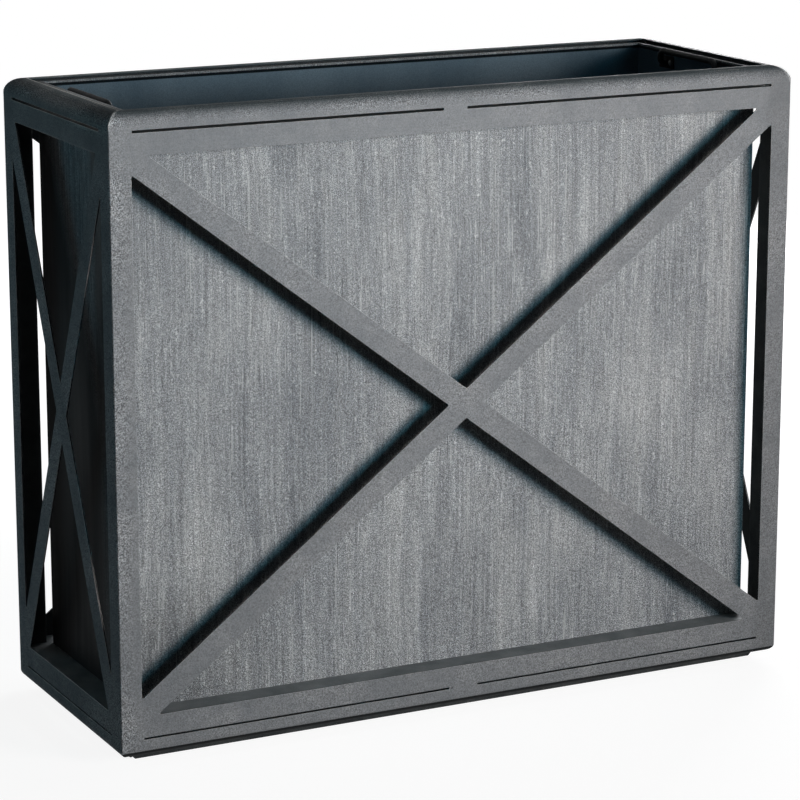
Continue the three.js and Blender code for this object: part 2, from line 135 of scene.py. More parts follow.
WHITE = (1, 1, 1, 1)
CASING_TONES = [(0.3, 0.21, 0.224, 0.238), (0.5, 0.264, 0.275, 0.287), (0.7, 0.324, 0.331, 0.339)]
# Soot together with painted shade, for the crest of the roll
CASING_CREST_SOOT_AND_SHADE = [(0.36, 0.022, 0.038, 0.045), (0.64, 0.052, 0.07, 0.075)]
CASING_FLECKS = (0.66, 0.72, 0.7, 1)
CASING_MARKS = (0.34, 0.35, 0.34, 1)
CASING_CHAFED = (0.62, 0.64, 0.64, 1)
# Painted highlight along the casing's inner lip
CASING_LIP_HIGHLIGHT = (0.42, 0.42, 0.39, 1)
# Painted shade for the backs of the casing's sheets
CASING_BACK_SHADE = (0.022, 0.024, 0.025, 1)
# Painted shade and painted highlight for the cut edges, set by which way they face
EDGE_SHADE = (0.045, 0.047, 0.048, 1)
EDGE_HIGHLIGHT = (0.8, 0.81, 0.8, 1)
LINER_TONES = [(0.34, 0.195, 0.208, 0.223), (0.5, 0.273, 0.286, 0.298), (0.66, 0.366, 0.377, 0.382)]
LINER_CALM = [(0.3, 0.09, 0.13, 0.162), (0.7, 0.155, 0.208, 0.246)]
LINER_LINES = (0.56, 0.58, 0.58, 1)
LINER_CRYSTALS = (0.7, 0.72, 0.72, 1)
# Painted shade for the liner's left end
LINER_END_SHADE = (0.006, 0.0065, 0.007, 1)
STEEL_BLOOM = (0.4, 0.42, 0.42, 1)
RUBBER_TONES = [(0.35, 0.018, 0.018, 0.019), (0.7, 0.045, 0.045, 0.044)]
FLOOR_GREY = (0.24, 0.24, 0.24, 1)

GRAIN = 760  # crystals of the patina, to a metre
LINER_GRAIN = 1.3 * GRAIN


def link(mesh, name):
    piece = bpy.data.objects.new(name, mesh)
    bpy.context.scene.collection.objects.link(piece)
    return piece


# ---- Node trees ----

class Tree:
    """A node tree, with short ways to add to it."""

    def __init__(self, tree):
        self.tree = tree
        self.nodes = tree.nodes
        self.links = tree.links

    def node(self, kind, inputs=(), **settings):
        made = self.nodes.new(kind)
        for key, value in settings.items():
            setattr(made, key, value)
        for key, value in dict(inputs).items():
            if isinstance(value, bpy.types.NodeSocket):
                self.links.new(value, made.inputs[key])
            else:
                made.inputs[key].default_value = value
        return made

    def maths(self, operation, a, b=0.0, c=0.0):
        return self.node("ShaderNodeMath", {0: a, 1: b, 2: c}, operation=operation).outputs[0]

    def product(self, first, *others):
        for other in others:
            first = self.maths("MULTIPLY", first, other)
        return first

    def blend(self, share, under, over):
        return self.node("ShaderNodeMix", {0: share, 6: under, 7: over}, data_type="RGBA").outputs[2]

    def found_white(self):
        """One for the rays that have to find white: the camera's, and those off or through the planter."""
        rays = self.node("ShaderNodeLightPath").outputs
        seen = self.maths("MAXIMUM", rays["Is Camera Ray"], rays["Is Glossy Ray"])
        return self.maths("MAXIMUM", seen, rays["Is Transmission Ray"])


class Finish(Tree):
    """A material whose pattern lies in the planter's own coordinates."""

    def __init__(self, name):
        self.material = bpy.data.materials.new(name)
        self.material.use_nodes = True
        super().__init__(self.material.node_tree)
        self.shader = self.nodes["Principled BSDF"]
        self.place = self.nodes.new("ShaderNodeTexCoord").outputs["Object"]

    def stretched(self, per_metre, shift=(0, 0, 0), place=None):
        """The place, scaled to so many features a metre along each axis."""
        inputs = {"Vector": place or self.place, "Scale": per_metre, "Location": shift}
        return self.node("ShaderNodeMapping", inputs).outputs[0]

    def noise(self, place, detail=2.0, rough=0.5, warp=0.0):
        inputs = {"Vector": place, "Scale": 1.0, "Detail": detail, "Roughness": rough, "Distortion": warp}
        return self.node("ShaderNodeTexNoise", inputs).outputs["Fac"]

    def between(self, value, low, high, new_low=0.0, new_high=1.0):
        """A value's range made another one, smoothly and with its ends held."""
        inputs = {0: value, 1: low, 2: high, 3: new_low, 4: new_high}
        return self.node("ShaderNodeMapRange", inputs, interpolation_type="SMOOTHSTEP").outputs[0]

    def tones(self, value, stops):
        """Colours by value, as (place, red, green, blue) from dark to light."""
        ramp = self.nodes.new("ShaderNodeValToRGB")
        spare = ramp.color_ramp.elements
        while len(spare) < len(stops):
            spare.new(0.5)
        for element, (where, *colour) in zip(spare, stops):
            element.position = where
            element.color = (*colour, 1)
        self.links.new(value, ramp.inputs[0])
        return ramp.outputs[0]

    def times(self, colour, factor):
        return self.node("ShaderNodeVectorMath", {0: colour, "Scale": factor}, operation="SCALE").outputs[0]

    def contrast(self, pattern, strength):
        """A pattern round a half made a factor round one, with its pale end the longer."""
        return self.maths("POWER", self.maths("MULTIPLY", pattern, 2.0), strength)

    def axes(self):
        """How far right, how far back and how high."""
        parts = self.node("ShaderNodeSeparateXYZ", {0: self.place}).outputs
        return parts[0], parts[1], parts[2]

    def finish(self, colour, roughness, bump, bump_height, specular=0.04):
        self.links.new(colour, self.shader.inputs["Base Color"])
        self.links.new(roughness, self.shader.inputs["Roughness"])
        self.shader.inputs["Specular IOR Level"].default_value = specular
        inputs = {"Height": bump, "Distance": bump_height, "Strength": 1.0}
        relief = self.node("ShaderNodeBump", inputs)
        self.links.new(relief.outputs[0], self.shader.inputs["Normal"])
        return self.material


class Rule(Tree):
    """A geometry tree with named inputs for its sizes, which makes one piece."""

    def __init__(self, name):
        super().__init__(bpy.data.node_groups.new(name, "GeometryNodeTree"))
        self.face = self.tree.interface
        self.face.new_socket("Geometry", in_out="INPUT", socket_type="NodeSocketGeometry")
        self.face.new_socket("Geometry", in_out="OUTPUT", socket_type="NodeSocketGeometry")
        self.start = self.nodes.new("NodeGroupInput")
        self.given = {}

    def size(self, name, value):
        """A named input, and the value that the modifier gives it."""
        socket = self.face.new_socket(name, in_out="INPUT", socket_type="NodeSocketFloat")
        self.given[socket.identifier] = value
        return self.start.outputs[name]

    def stored(self, name, kind="FLOAT"):
        return self.node("GeometryNodeInputNamedAttribute", {"Name": name}, data_type=kind).outputs[0]

    def make(self, result, mesh, material, name):
        """The finished piece as a plain mesh, with the tree's last two steps added."""
        real = self.node("GeometryNodeRealizeInstances", {0: result}).outputs[0]
        coated = self.node("GeometryNodeSetMaterial", {0: real, "Material": material}).outputs[0]
        self.links.new(coated, self.nodes.new("NodeGroupOutput").inputs[0])
        start = link(mesh, name + "_start")
        modifier = start.modifiers.new(name, "NODES")
        modifier.node_group = self.tree
        for identifier, value in self.given.items():
            modifier[identifier] = value
        seen = start.evaluated_get(bpy.context.evaluated_depsgraph_get())
        made = bpy.data.meshes.new_from_object(seen)
        made.name = name
        bpy.data.objects.remove(start)
        made.set_sharp_from_angle(angle=SHARP)
        return link(made, name)


# ---- Finishes ----

def casing_patina():
    """Smooth mid-grey zinc with a fine grain, dark on the crest of the roll, partly soot and partly painted
    shade, and rubbed pale along it.
    """
    finish = Finish("casing_patina")
    across, along, level = finish.axes()
    inset_x = finish.maths("SUBTRACT", half_width, finish.maths("ABSOLUTE", across))
    inset_y = finish.maths("SUBTRACT", half_depth, finish.maths("ABSOLUTE", along))
    inset = finish.maths("MINIMUM", inset_x, inset_y)
    girth = finish.maths("ADD", level, inset)
    wrapped = finish.node("ShaderNodeCombineXYZ", {0: across, 1: along, 2: girth}).outputs[0]
    clouds = finish.noise(finish.stretched((9, 9, 9)), 3.0, 0.55, 0.6)
    mottle = finish.noise(finish.stretched((55, 55, 40), (3, 1, 7)), 3.0, 0.6)
    rubbed = finish.noise(finish.stretched((16, 16, 520), (5, 2, 0), wrapped), 3.0, 0.65)
    grain = finish.noise(finish.stretched((GRAIN, GRAIN, GRAIN), (1, 4, 2)), 2.0, 0.7)
    flecks = finish.noise(finish.stretched((420, 420, 420), (7, 3, 1)), 2.0, 0.8)

    # Clouds and mottle, then grain, which is coarser on the roll and on the left stile
    tone = finish.maths("MULTIPLY_ADD", clouds, 0.5, finish.maths("MULTIPLY", mottle, 0.3))
    tone = finish.maths("MULTIPLY_ADD", rubbed, 0.2, tone)
    colour = finish.tones(tone, CASING_TONES)
    smooth_top = finish.between(level, *BELOW_ROLL, 1.0, 0.5)
    on_roll = finish.between(level, *ROLL, 0.0, 1.4)
    rough_part = finish.product(
        finish.between(clouds, 0.35, 0.65, 0.8, 1.6),
        finish.maths("ADD", smooth_top, on_roll),
        finish.between(across, *LEFT_STILE, 1.9, 1.0),
    )
    colour = finish.times(colour, finish.contrast(grain, rough_part))
    colour = finish.times(colour, finish.between(across, *RIGHT_STILE, 1.0, 0.84))

    # Soot along the crest of the roll, which is also painted shade: the upward-facing crest is darkened as
    # if little light reached it
    crest = finish.product(finish.between(inset, *CREST_INSET), finish.between(level, *CREST))
    soot_and_shade = finish.tones(rubbed, CASING_CREST_SOOT_AND_SHADE)
    colour = finish.blend(finish.product(crest, 0.8), colour, soot_and_shade)

    # Pale flecks and streaks under the roll on the ends, and pale marks on the crest
    is_end = finish.between(finish.maths("SUBTRACT", inset_y, inset_x), *END_NOT_FRONT)
    on_end = finish.product(
        finish.between(level, *UNDER_ROLL_START),
        finish.between(level, *UNDER_ROLL_END, 1, 0),
        finish.between(along, *END_FROM_FRONT, 1.0, 0.15),
        is_end,
    )
    pale_streaks = finish.between(rubbed, 0.5, 0.64, 0, 0.5)
    streaked = finish.maths("MAXIMUM", finish.between(flecks, 0.54, 0.64), pale_streaks)
    colour = finish.blend(finish.product(on_end, streaked), colour, CASING_FLECKS)
    marks = finish.product(finish.between(rubbed, 0.56, 0.7), finish.between(grain, 0.4, 0.62), crest)
    colour = finish.blend(marks, colour, CASING_MARKS)

    # Corners rubbed bare, and a pale line painted along the inner lip as a highlight, fainter on the front
    # and back and patchy
    corner = finish.maths("ABSOLUTE", finish.maths("SUBTRACT", inset_x, inset_y))
    chafed = finish.product(
        finish.between(corner, *CORNER_LINE, 1, 0),
        finish.between(level, *CORNER_RISE),
        finish.between(grain, 0.4, 0.55),
    )
    colour = finish.blend(chafed, colour, CASING_CHAFED)
    lip = finish.product(
        finish.between(inset, *LIP_INSET),
        finish.between(level, *LIP_RISE),
        finish.between(is_end, 0, 1, 0.3, 1.0),
    )
    patchy_lip_highlight = finish.product(lip, finish.between(clouds, 0.35, 0.6, 0.4, 1.0))
    colour = finish.blend(patchy_lip_highlight, colour, CASING_LIP_HIGHLIGHT)

    # The sheets' inner faces and the inner half of their cut edges, below the roll: painted near black as
    # shade, so that little light bounces into the shadows behind the cross and the slots stay dark
    inside = finish.product(finish.between(inset, *SHEET_BACK), finish.between(level, *SHEET_BACK_TOP, 1, 0))
    colour = finish.blend(inside, colour, CASING_BACK_SHADE)

    relief = finish.maths("MULTIPLY_ADD", mottle, 0.5, finish.maths("MULTIPLY", grain, 0.5))
    roughness = finish.product(
        finish.between(tone, 0.3, 0.7, 0.66, 0.52),
        finish.between(lip, 0, 1, 1.0, 0.7),
    )
    return finish.finish(colour, roughness, relief, 0.00025, 0.02)


def worn_edge():
    """Cut edges of the sheet, with a painted highlight where they face up or level and painted shade where
    they face down, in patches.
    """
    finish = Finish("worn_edge")
    facing = finish.node("ShaderNodeTexCoord").outputs["Normal"]
    up = finish.node("ShaderNodeSeparateXYZ", {0: facing}).outputs[2]
    patchy = finish.noise(finish.stretched((60, 60, 60)), 3.0, 0.65)
    grain = finish.noise(finish.stretched((GRAIN, GRAIN, GRAIN)), 1.0, 0.6)
    # Pale where the edge faces up or level, as a painted highlight; black where it faces down, as painted
    # shade
    lit_edge = finish.product(finish.between(up, -0.3, -0.08), finish.between(patchy, 0.35, 0.6, 0.5, 1.0))
    colour = finish.blend(lit_edge, EDGE_SHADE, EDGE_HIGHLIGHT)
    return finish.finish(colour, finish.between(patchy, 0.3, 0.7, 0.5, 0.38), grain, 0.0001, 0.3)


def liner_patina():
    """Zinc streaked from top to bottom by wiping, smooth and dark inside, with painted shade and a painted
    patch of light on the left end.

    Fine pale and dark lines run down it, with crystals strung along them.
    """
    finish = Finish("liner_patina")
    right, back, level = finish.axes()
    across = finish.maths("ABSOLUTE", right)
    along = finish.maths("ABSOLUTE", back)
    drift = finish.noise(finish.stretched((5, 5, 2.4)), 2.0, 0.5)
    offset = finish.node("ShaderNodeCombineXYZ", {0: drift, 1: drift}).outputs[0]
    wander = {0: offset, 1: (0.04, 0.04, 0), 2: finish.place}
    bent = finish.node("ShaderNodeVectorMath", wander, operation="MULTIPLY_ADD").outputs[0]
    patches = finish.noise(finish.stretched((7, 7, 3.2), (2, 8, 1)), 3.0, 0.55, 0.4)
    broad = finish.noise(finish.stretched((60, 60, 2.2), (0, 3, 0), bent), 3.0, 0.6)
    narrow = finish.noise(finish.stretched((260, 260, 4.0), (4, 0, 2), bent), 3.0, 0.7)
    hair = finish.noise(finish.stretched((560, 560, 5), (9, 1, 5), bent), 2.0, 0.7)
    thin = finish.noise(finish.stretched((620, 620, 3), (3, 7, 9), bent), 1.0, 0.6)
    gaps = finish.noise(finish.stretched((90, 90, 16), (8, 8, 2)))
    grain = finish.noise(finish.stretched((LINER_GRAIN, LINER_GRAIN, LINER_GRAIN), (1, 4, 2)), 2.0, 0.7)
    crystals = finish.noise(finish.stretched((430, 430, 360), (6, 2, 8)), 1.0, 0.6)

    # Patches, streaks and grain
    tone = finish.maths("MULTIPLY_ADD", broad, 0.4, finish.maths("MULTIPLY", patches, 0.6))
    colour = finish.tones(tone, LINER_TONES)
    streaks = finish.maths("MULTIPLY_ADD", narrow, 0.5, finish.maths("MULTIPLY", hair, 0.5))
    colour = finish.times(colour, finish.contrast(streaks, 0.8))
    coarse = finish.between(level, 0.2, 0.68, 3.7, 2.4)
    colour = finish.times(colour, finish.contrast(grain, coarse))
    colour = finish.times(colour, finish.between(right, -0.42, 0.3, 1.03, 1.06))
    # Darker towards the lower left corner
    low_left = finish.product(
        finish.between(right, *DARK_CORNER_RIGHT, 1, 0),
        finish.between(level, *DARK_CORNER_TOP, 1, 0),
    )
    colour = finish.times(colour, finish.between(low_left, 0, 1, 1.0, 0.72))

    # Dark lines, broken pale lines and crystals
    colour = finish.times(colour, finish.between(thin, 0.26, 0.34, 0.6, 1.0))
    pale_lines = finish.product(finish.between(thin, 0.62, 0.68), finish.between(gaps, 0.42, 0.6), 0.7)
    colour = finish.blend(pale_lines, colour, LINER_LINES)
    strung = finish.between(streaks, 0.48, 0.62, 0.25, 1.0)
    specks = finish.product(finish.between(crystals, 0.62, 0.67), strung, 0.9)
    colour = finish.blend(specks, colour, LINER_CRYSTALS)

    # The inside, smooth and darker, with a band of painted shade, nearly black, just under the hem
    inside = finish.product(
        finish.between(across, *LINER_INNER_END, 1, 0),
        finish.between(along, *LINER_INNER_SIDE, 1, 0),
        finish.between(level, *LINER_RIM, 1, 0),
    )
    calm = finish.tones(patches, LINER_CALM)
    calm = finish.times(calm, finish.contrast(grain, 0.6))
    hem_shade = finish.between(level, *HEM_UNDERSIDE, 1.0, 0.06)
    colour = finish.blend(inside, colour, finish.times(calm, hem_shade))
    hem = finish.product(finish.between(level, *LINER_RIM), finish.between(along, *HEM_OUTSIDE, 1, 0))
    colour = finish.blend(hem, colour, finish.times(colour, 0.7))

    # The left end's outside: painted shade, near black, but for a painted patch of light near the top, edged
    # along the slant of the cross, and a faint one below it
    end_wall = finish.product(
        finish.between(right, *LEFT_END_WALL, 1, 0),
        finish.between(along, *LEFT_END_SIDES, 1, 0),
    )
    slant = finish.maths("MULTIPLY_ADD", level, -0.49, back)
    slant = finish.maths("MULTIPLY_ADD", streaks, 0.05, slant)
    lit_patch = finish.product(
        finish.between(slant, -0.25, -0.195, 1, 0),
        finish.between(back, -0.05, -0.014, 0.1, 1.0),
    )
    faint_lit_patch = finish.product(
        finish.between(back, -0.06, -0.036, 0.22, 0),
        finish.between(level, 0.36, 0.46, 1, 0),
    )
    lit_patch = finish.maths("MAXIMUM", lit_patch, faint_lit_patch)
    streaky = finish.times(colour, finish.contrast(streaks, 1.6))
    colour = finish.blend(end_wall, colour, finish.blend(lit_patch, LINER_END_SHADE, streaky))

    relief = finish.maths("MULTIPLY_ADD", streaks, 0.55, finish.maths("MULTIPLY", grain, 0.45))
    roughness = finish.between(tone, 0.36, 0.63, 0.7, 0.5)
    return finish.finish(colour, roughness, relief, 0.0003, 0.02)


def dark_patina(name, dark, pale, grain, shine=0.04):
    """Blackened steel: nearly even, with faint clouds, a rubbed grain and small pale spots of bloom."""
    finish = Finish(name)
    clouds = finish.noise(finish.stretched((24, 24, 24)), 3.0, 0.6)
    fine = finish.noise(finish.stretched((grain, grain, grain), (2, 6, 4)), 2.0, 0.6)
    spots = finish.noise(finish.stretched((grain, grain, grain)), 1.0, 0.6)
    tone = finish.maths("MULTIPLY_ADD", clouds, 0.6, finish.maths("MULTIPLY", fine, 0.4))
    colour = finish.tones(tone, [(0.32, *dark), (0.68, *pale)])
    bloom = finish.product(finish.between(spots, 0.68, 0.82), finish.between(clouds, 0.45, 0.7, 0.0, 0.6))
    colour = finish.blend(bloom, colour, STEEL_BLOOM)
    roughness = finish.between(clouds, 0.3, 0.7, 0.62, 0.48)
    return finish.finish(colour, roughness, fine, 0.0002, shine)


def rubber():
    """Black rubber, dull and a little dusty."""
    finish = Finish("plug_rubber")
    dust = finish.noise(finish.stretched((180, 180, 180)), 3.0, 0.6)
    fine = finish.noise(finish.stretched((1500, 1500, 1500)), 2.0, 0.6)
    colour = finish.tones(dust, RUBBER_TONES)
    return finish.finish(colour, finish.between(dust, 0.3, 0.7, 0.75, 0.9), fine, 0.0001)


casing_zinc = casing_patina()
edge_light_material = worn_edge()
liner_zinc = liner_patina()
# Frame and plinth: blackened steel, darkened further as painted shade so the slots and the gaps behind the
# casing stay dark
frame_dark_and_shade = dark_patina("frame_patina", (0.03, 0.034, 0.036), (0.075, 0.08, 0.08), 700)
tray_zinc = dark_patina("tray_patina", (0.15, 0.17, 0.176), (0.3, 0.32, 0.326), 700)
# Handles and foot plates: black steel, made darker still as painted shade, as they stand in the liner's
# shadow
handle_black_and_shade = dark_patina("handle_patina", (0.004, 0.0045, 0.005), (0.013, 0.014, 0.015), 900, 0.03)
rivet_zinc = dark_patina("rivet_patina", (0.07, 0.078, 0.082), (0.2, 0.21, 0.21), 1200)
plug_rubber = rubber()


# ---- Pieces ----

def joined_copy(node):
    """A CAD node's mesh with its triangles joined into whole faces."""
    shape = bmesh.new()
    shape.from_mesh(frame["nodes"][node].data)
    bmesh.ops.remove_doubles(shape, verts=shape.verts, dist=MERGE)
    bmesh.ops.dissolve_limit(shape, angle_limit=FLAT, verts=shape.verts, edges=shape.edges)
    return shape


def on_mitre(point):
    """True on the slanted plane where two panels meet, and on the rounding beside it."""
    inset_x = half_width - abs(point.x)
    inset_y = half_depth - abs(point.y)
    return abs(inset_x - inset_y) < MITRE_NEAR and min(inset_x, inset_y) < MITRE_DEEP


def dressed(node, body, material, edge=EDGE_ROUND, keep_sharp=None, lit_edge=None):
    """A CAD node with its edges worn round and its curves smooth, in that node's place."""
    shape = joined_copy(node)
    weight = shape.edges.layers.float.new("bevel_weight_edge")
    for line in shape.edges:
        bent = len(line.link_faces) == 2 and line.calc_face_angle() > SHARP
        held = keep_sharp and all(keep_sharp(corner.co) for corner in line.verts)
        line[weight] = 1.0 if bent and not held else 0.0
        line.smooth = not (bent and held)
    for face in shape.faces:
        face.smooth = True
    mesh = bpy.data.meshes.new(node + "_dressed")
    shape.to_mesh(mesh)
    shape.free()
    mesh.materials.append(material)
    piece = link(mesh, node + "_dressed")
    round_edges = piece.modifiers.new("worn_edges", "BEVEL")
    round_edges.limit_method = "WEIGHT"
    round_edges.width = edge
    round_edges.segments = 2
    # The rounded edges take the edge material, whose colour is painted light and shade
    if lit_edge:
        mesh.materials.append(lit_edge)
        round_edges.material = 1
    even = piece.modifiers.new("even_shading", "WEIGHTED_NORMAL")
    even.keep_sharp = True
    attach(piece, body)
    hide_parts(node)
    return piece


def points_mesh(name, places, edges=(), **values):
    """Bare points, with a named value for each."""
    mesh = bpy.data.meshes.new(name)
    mesh.from_pydata(places, edges, [])
    for key, numbers in values.items():
        kind = "FLOAT" if isinstance(numbers[0], float) else "FLOAT_VECTOR"
        field = mesh.attributes.new(key, kind, "POINT")
        for spot, number in zip(field.data, numbers):
            if kind == "FLOAT":
                spot.value = number
            else:
                spot.vector = number
    return mesh


def tube_frame():
    """Every post and rail: one square tube section, stretched from the start of each to its end."""
    names = [name for name in frame["nodes"] if name.startswith(TUBES)]
    starts, turns, lengths = [], [], []
    for name in names:
        low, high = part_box(name)
        spans = high - low
        axis = max(range(3), key=lambda k: spans[k])
        start = (low + high) / 2
        start[axis] = low[axis]
        starts.append(start)
        turns.append([(0, RIGHT_ANGLE, 0), (-RIGHT_ANGLE, 0, 0), (0, 0, 0)][axis])
        lengths.append(spans[axis])
    mesh = points_mesh("tube_starts", starts, turn=turns, length=lengths)
    rule = Rule("square_tubes")
    outside = rule.size("Tube", TUBE)
    inside = rule.maths("SUBTRACT", outside, rule.maths("MULTIPLY", rule.size("Wall", TUBE_WALL), 2))
    bend = rule.size("Corner radius", TUBE_CORNER)
    loops = rule.nodes.new("GeometryNodeJoinGeometry")
    for side, round_by in ((outside, bend), (inside, rule.maths("MULTIPLY", bend, INNER_CORNER))):
        square = rule.node("GeometryNodeCurvePrimitiveQuadrilateral", {"Width": side, "Height": side})
        bends = {"Curve": square.outputs[0], "Count": TUBE_CORNER_POINTS, "Radius": round_by}
        rounded = rule.node("GeometryNodeFilletCurve", bends, mode="POLY")
        rule.links.new(rounded.outputs[0], loops.inputs[0])
    ring = rule.node("GeometryNodeFillCurve", {0: loops.outputs[0]}, mode="NGONS").outputs[0]
    raised = rule.node("GeometryNodeExtrudeMesh", {0: ring, "Offset": (0, 0, 1), "Individual": False})
    under = rule.node("GeometryNodeFlipFaces", {0: ring}).outputs[0]
    closed = rule.nodes.new("GeometryNodeJoinGeometry")
    rule.links.new(raised.outputs[0], closed.inputs[0])
    rule.links.new(under, closed.inputs[0])
    tube = rule.node("GeometryNodeMergeByDistance", {0: closed.outputs[0], "Distance": CLOSE}).outputs[0]
    stretch = rule.node("ShaderNodeCombineXYZ", {0: 1.0, 1: 1.0, 2: rule.stored("length")}).outputs[0]
    spots = {
        "Points": rule.start.outputs[0],
        "Instance": tube,
        "Rotation": rule.stored("turn", "FLOAT_VECTOR"),
        "Scale": stretch,
    }
    tubes = rule.node("GeometryNodeInstanceOnPoints", spots).outputs[0]
    piece = rule.make(tubes, mesh, frame_dark_and_shade, "tube_frame")
    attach(piece, "casing")
    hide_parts(*names)


def liner_piece(piece, start):
    """A piece that the liner carries, in place of the CAD nodes whose names start so."""
    def named(node):
        return node.startswith(start)

    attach(piece, "liner")
    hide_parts(*filter(named, frame["nodes"]))


def at_both_ends(rule, made):
    """What the tree made for the right-hand end, and the same turned half round."""
    half_turn = {0: made, "Rotation": (0, 0, math.pi)}
    pair = rule.nodes.new("GeometryNodeJoinGeometry")
    rule.links.new(made, pair.inputs[0])
    rule.links.new(rule.node("GeometryNodeTransform", half_turn).outputs[0], pair.inputs[0])
    return pair.outputs[0]


def handle_rods():
    """Both handles: a round rod carried along its corners, each with its own bend."""
    foot, top, out = HANDLE_FOOT, HANDLE_TOP, HANDLE_PLANE
    legs = HANDLE_SPAN / 2
    rod_end = PLATE_FACE - GAP
    corners = [
        (rod_end, -legs, foot),
        (out, -legs, foot),
        (out, -legs, top),
        (out, legs, top),
        (out, legs, foot),
        (rod_end, legs, foot),
    ]
    bends = [0.0, LOWER_BEND, UPPER_BEND, UPPER_BEND, LOWER_BEND, 0.0]
    lines = [(k, k + 1) for k in range(len(corners) - 1)]
    mesh = points_mesh("handle_corners", corners, lines, bend=bends)
    rule = Rule("bent_rod")
    line = rule.node("GeometryNodeMeshToCurve", {0: rule.start.outputs[0]}).outputs[0]
    turns = {"Curve": line, "Count": ROD_BEND_POINTS, "Radius": rule.stored("bend")}
    path = rule.node("GeometryNodeFilletCurve", turns, mode="POLY").outputs[0]
    radius = rule.maths("MULTIPLY", rule.size("Rod", ROD), 0.5)
    section = {"Resolution": ROD_SIDES, "Radius": radius}
    circle = rule.node("GeometryNodeCurvePrimitiveCircle", section).outputs[0]
    sweep = {"Curve": path, "Profile Curve": circle, "Fill Caps": True}
    rod = rule.node("GeometryNodeCurveToMesh", sweep).outputs[0]
    smooth = rule.node("GeometryNodeSetShadeSmooth", {0: rod}).outputs[0]
    piece = rule.make(at_both_ends(rule, smooth), mesh, handle_black_and_shade, "handle_rods")
    liner_piece(piece, ("handle_right", "handle_left"))


def repeated(name, one, places, material, start):
    """One small part, made once and set at each place inside both ends of the liner."""
    rule = Rule(name + "_places")
    depth = rule.size("From middle", places["x"])
    span = rule.size("Span", places["span"])
    pitch = rule.size("Pitch", places["pitch"])
    level = rule.size("Height", places["z"])
    count = 4 if places["pitch"] else 2
    index = rule.nodes.new("GeometryNodeInputIndex").outputs[0]
    leg = rule.maths("SUBTRACT", rule.maths("MODULO", index, 2), 0.5)
    pair = rule.maths("SUBTRACT", rule.maths("FLOOR", rule.maths("DIVIDE", index, 2)), 0.5)
    across = rule.maths("MULTIPLY_ADD", pair, pitch, rule.maths("MULTIPLY", leg, span))
    spot = rule.node("ShaderNodeCombineXYZ", {0: depth, 1: across, 2: level}).outputs[0]
    points = rule.node("GeometryNodePoints", {"Count": count, "Position": spot}).outputs[0]
    placed = {"Points": points, "Instance": rule.start.outputs[0]}
    row = rule.node("GeometryNodeInstanceOnPoints", placed).outputs[0]
    piece = rule.make(at_both_ends(rule, row), one, material, name)
    liner_piece(piece, start)


def foot_plate():
    """A small plate with round corners and broken edges, standing across the end wall."""
    shape = bmesh.new()
    bmesh.ops.create_cube(shape, size=1)
    sizes = (FOOT_PLATE, FOOT_LONG, FOOT_TALL)
    bmesh.ops.scale(shape, vec=sizes, verts=shape.verts)
    bmesh.ops.translate(shape, vec=(FOOT_PLATE / 2, 0, 0), verts=shape.verts)
    thin = [line for line in shape.edges if abs(line.verts[0].co.x - line.verts[1].co.x) > MERGE]
    bmesh.ops.bevel(shape, geom=thin, offset=FOOT_CORNER, segments=4, affect="EDGES", profile=0.5)
    rims = [line for line in shape.edges if line.calc_face_angle(0) > math.radians(80)]
    bmesh.ops.bevel(shape, geom=rims, offset=FOOT_EDGE, segments=2, affect="EDGES", profile=0.5)
    mesh = bpy.data.meshes.new("foot_plate")
    shape.to_mesh(mesh)
    shape.free()
    return mesh


def rivet():
    """A domed head, a shank through plate and wall, and a spread tail, turned about X."""
    head = RIVET_HEAD / 2
    shank = RIVET / 2
    spread = shank + RIVET_SPREAD
    tail = RIVET_GRIP + RIVET_TAIL_TALL
    dome = [(-RIVET_TALL * math.cos(a), head * math.sin(a)) for a in DOME_ANGLES]
    outline = dome + [
        (-RIVET_RIM, head),
        (0, head - RIVET_RIM),
        (0, shank),
        (RIVET_GRIP, shank),
        (RIVET_GRIP, spread),
        (RIVET_GRIP + 0.4 * RIVET_TAIL_TALL, spread),
        (tail, shank),
        (tail, 0),
    ]
    shape = bmesh.new()
    points = [shape.verts.new((x, 0, r)) for x, r in outline]
    lines = [shape.edges.new(pair) for pair in zip(points, points[1:])]
    whole = {"cent": (0, 0, 0), "axis": (1, 0, 0), "angle": 2 * math.pi, "steps": RIVET_STEPS}
    bmesh.ops.spin(shape, geom=points + lines, **whole)
    bmesh.ops.remove_doubles(shape, verts=shape.verts, dist=CLOSE)
    bmesh.ops.recalc_face_normals(shape, faces=shape.faces)
    for face in shape.faces:
        face.smooth = True
    mesh = bpy.data.meshes.new("rivet")
    shape.to_mesh(mesh)
    shape.free()
    return mesh


for side in ("front", "back"):
    dressed(side + "_panel", "casing", casing_zinc, PANEL_ROUND, on_mitre, edge_light_material)
for side in ("left", "right"):
    dressed(side + "_end_panel", "casing", casing_zinc, PANEL_ROUND, on_mitre, edge_light_material)
for side in ("front", "back", "left", "right"):
    dressed("plinth_" + side, "casing", frame_dark_and_shade)
dressed("base_tray", "casing", tray_zinc)

dressed("liner_shell", "liner", liner_zinc)
for side in ("left", "right"):
    dressed("drain_plug_" + side, "plug_" + side, plug_rubber)

tube_frame()
handle_rods()
foot_places = {"x": PLATE_FACE, "span": HANDLE_SPAN, "pitch": 0.0, "z": HANDLE_FOOT}
repeated("foot_plates", foot_plate(), foot_places, handle_black_and_shade, "handle_foot_")
rivet_places = {"x": PLATE_FACE - GAP, "span": HANDLE_SPAN, "pitch": RIVET_PITCH, "z": HANDLE_FOOT}
repeated("rivets", rivet(), rivet_places, rivet_zinc, "handle_rivet_")


# ---- Stage, light and camera ----

